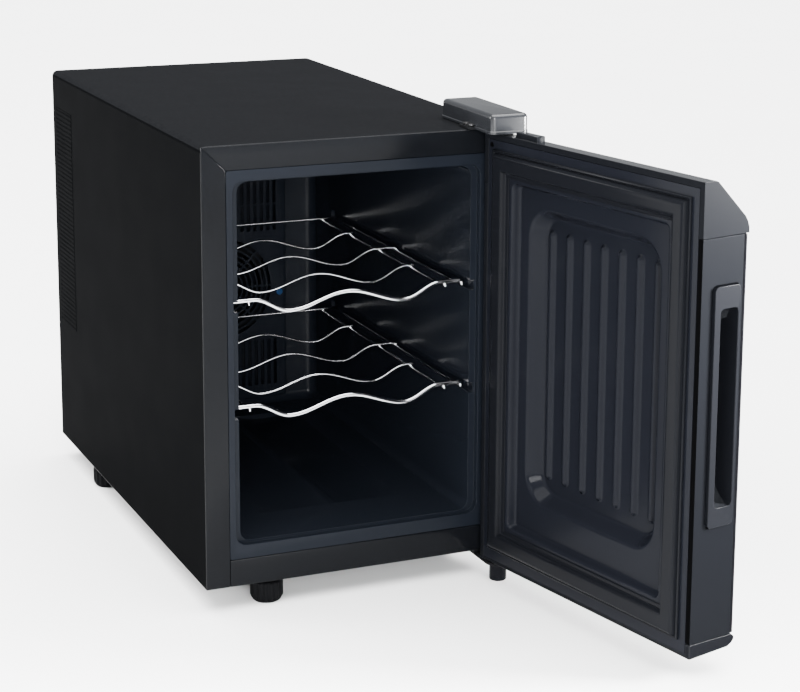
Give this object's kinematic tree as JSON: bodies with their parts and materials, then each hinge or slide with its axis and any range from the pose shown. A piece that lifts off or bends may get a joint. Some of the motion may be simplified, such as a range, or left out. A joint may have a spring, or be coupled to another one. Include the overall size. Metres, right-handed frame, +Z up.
{
  "type": "wine cooler",
  "caption": "Compact countertop thermoelectric wine cooler with wire bottle racks and a hinged door with a recessed side grip, shown standing open.",
  "frame": {"origin": "on the floor plane, in the middle of the box that the cooler fills with its door standing open", "axes": "+X to the right seen from the front, +Y to the back, +Z up"},
  "size_m": [0.3194, 0.6905, 0.3807],
  "materials": {
    "outer_shell": "satin black powder coat",
    "base_plate": "satin black powder coat",
    "rear_panel": "satin black powder coat",
    "rear_fan_guard": "satin black moulded plastic",
    "inner_liner": "satin charcoal moulded plastic",
    "cabinet_foam": "rigid polyurethane foam",
    "cold_sink": "extruded aluminium",
    "cold_spacer": "extruded aluminium",
    "thermoelectric_module": "white ceramic plates",
    "hot_sink": "extruded aluminium",
    "inner_fan_frame": "satin black moulded plastic",
    "rear_fan_frame": "satin black moulded plastic",
    "fan_cover": "satin charcoal moulded plastic",
    "interior_led": "blue lens",
    "power_board": "green circuit board",
    "cord_gland": "satin black moulded plastic",
    "front_left_foot": "satin black moulded plastic",
    "rear_left_foot": "satin black moulded plastic",
    "rear_right_foot": "satin black moulded plastic",
    "front_right_foot": "satin black moulded plastic",
    "upper_hinge_bracket": "zinc plated steel",
    "upper_hinge_screw_1": "zinc plated steel",
    "upper_hinge_screw_2": "zinc plated steel",
    "upper_hinge_pin": "zinc plated steel",
    "hinge_cover": "satin dark grey moulded plastic",
    "lower_hinge_bracket": "satin black powder coat",
    "lower_hinge_pin": "zinc plated steel",
    "door_top_cap": "satin dark grey moulded plastic",
    "door_bottom_cap": "satin dark grey moulded plastic",
    "door_front_panel": "gloss black",
    "free_edge_trim": "satin dark grey moulded plastic",
    "hinge_edge_trim": "satin dark grey moulded plastic",
    "door_handle": "satin black moulded plastic",
    "door_inner_liner": "satin charcoal moulded plastic",
    "door_foam": "rigid polyurethane foam",
    "door_gasket": "soft black vinyl",
    "upper_hinge_bush": "satin black moulded plastic",
    "lower_hinge_bush": "satin black moulded plastic",
    "up_button": "satin black moulded plastic",
    "down_button": "satin black moulded plastic",
    "upper_rack_outer_rail_left": "polished chrome plate",
    "upper_rack_outer_rail_right": "polished chrome plate",
    "upper_rack_inner_rail_left": "polished chrome plate",
    "upper_rack_inner_rail_right": "polished chrome plate",
    "upper_rack_back_wire": "polished chrome plate",
    "upper_rack_wave_wire_1": "polished chrome plate",
    "upper_rack_wave_wire_2": "polished chrome plate",
    "upper_rack_wave_wire_3": "polished chrome plate",
    "upper_rack_front_wire": "polished chrome plate",
    "lower_rack_outer_rail_left": "polished chrome plate",
    "lower_rack_outer_rail_right": "polished chrome plate",
    "lower_rack_inner_rail_left": "polished chrome plate",
    "lower_rack_inner_rail_right": "polished chrome plate",
    "lower_rack_back_wire": "polished chrome plate",
    "lower_rack_wave_wire_1": "polished chrome plate",
    "lower_rack_wave_wire_2": "polished chrome plate",
    "lower_rack_wave_wire_3": "polished chrome plate",
    "lower_rack_front_wire": "polished chrome plate",
    "inner_fan_rotor": "satin black moulded plastic",
    "rear_fan_rotor": "satin black moulded plastic"
  },
  "bodies": {
    "cabinet": {"outer_shell": "outer_shell", "base_plate": "base_plate", "rear_panel": "rear_panel", "rear_fan_guard": "rear_fan_guard", "inner_liner": "inner_liner", "cabinet_foam": "cabinet_foam", "cold_sink": "cold_sink", "cold_spacer": "cold_spacer", "thermoelectric_module": "thermoelectric_module", "hot_sink": "hot_sink", "inner_fan_frame": "inner_fan_frame", "rear_fan_frame": "rear_fan_frame", "fan_cover": "fan_cover", "interior_led": "interior_led", "power_board": "power_board", "cord_gland": "cord_gland", "front_left_foot": "front_left_foot", "rear_left_foot": "rear_left_foot", "rear_right_foot": "rear_right_foot", "front_right_foot": "front_right_foot", "upper_hinge_bracket": "upper_hinge_bracket", "upper_hinge_screw_1": "upper_hinge_screw_1", "upper_hinge_screw_2": "upper_hinge_screw_2", "upper_hinge_pin": "upper_hinge_pin", "hinge_cover": "hinge_cover", "lower_hinge_bracket": "lower_hinge_bracket", "lower_hinge_pin": "lower_hinge_pin"},
    "door": {"door_top_cap": "door_top_cap", "door_bottom_cap": "door_bottom_cap", "door_front_panel": "door_front_panel", "free_edge_trim": "free_edge_trim", "hinge_edge_trim": "hinge_edge_trim", "door_handle": "door_handle", "door_inner_liner": "door_inner_liner", "door_foam": "door_foam", "door_gasket": "door_gasket", "upper_hinge_bush": "upper_hinge_bush", "lower_hinge_bush": "lower_hinge_bush"},
    "up_button": {"up_button": "up_button"},
    "down_button": {"down_button": "down_button"},
    "upper_rack": {"upper_rack_outer_rail_left": "upper_rack_outer_rail_left", "upper_rack_outer_rail_right": "upper_rack_outer_rail_right", "upper_rack_inner_rail_left": "upper_rack_inner_rail_left", "upper_rack_inner_rail_right": "upper_rack_inner_rail_right", "upper_rack_back_wire": "upper_rack_back_wire", "upper_rack_wave_wire_1": "upper_rack_wave_wire_1", "upper_rack_wave_wire_2": "upper_rack_wave_wire_2", "upper_rack_wave_wire_3": "upper_rack_wave_wire_3", "upper_rack_front_wire": "upper_rack_front_wire"},
    "lower_rack": {"lower_rack_outer_rail_left": "lower_rack_outer_rail_left", "lower_rack_outer_rail_right": "lower_rack_outer_rail_right", "lower_rack_inner_rail_left": "lower_rack_inner_rail_left", "lower_rack_inner_rail_right": "lower_rack_inner_rail_right", "lower_rack_back_wire": "lower_rack_back_wire", "lower_rack_wave_wire_1": "lower_rack_wave_wire_1", "lower_rack_wave_wire_2": "lower_rack_wave_wire_2", "lower_rack_wave_wire_3": "lower_rack_wave_wire_3", "lower_rack_front_wire": "lower_rack_front_wire"},
    "inner_fan_rotor": {"inner_fan_rotor": "inner_fan_rotor"},
    "rear_fan_rotor": {"rear_fan_rotor": "rear_fan_rotor"}
  },
  "joints": [
    {"name": "door_hinge", "type": "hinge", "parent": "cabinet", "child": "door", "pos_m": [0.07981, -0.10837, 0.19], "axis": [0, 0, 1], "range_deg": [-101.4, 7.5]},
    {"name": "up_button_press", "type": "slide", "parent": "door", "child": "up_button", "axis": [-0.6958, -0.1403, -0.7044], "range_m": [0, 0.0008], "stiffness_N_per_m": 400},
    {"name": "down_button_press", "type": "slide", "parent": "door", "child": "down_button", "axis": [-0.6958, -0.1403, -0.7044], "range_m": [0, 0.0008], "stiffness_N_per_m": 400},
    {"name": "upper_rack_slide", "type": "slide", "parent": "cabinet", "child": "upper_rack", "axis": [0, -1, 0], "range_m": [0, 0.16]},
    {"name": "lower_rack_slide", "type": "slide", "parent": "cabinet", "child": "lower_rack", "axis": [0, -1, 0], "range_m": [0, 0.16]},
    {"name": "inner_fan_spin", "type": "hinge", "parent": "cabinet", "child": "inner_fan_rotor", "pos_m": [-0.03369, 0.24958, 0.172], "axis": [0, 1, 0], "continuous": true},
    {"name": "rear_fan_spin", "type": "hinge", "parent": "cabinet", "child": "rear_fan_rotor", "pos_m": [-0.03369, 0.32868, 0.172], "axis": [0, 1, 0], "continuous": true}
  ]
}
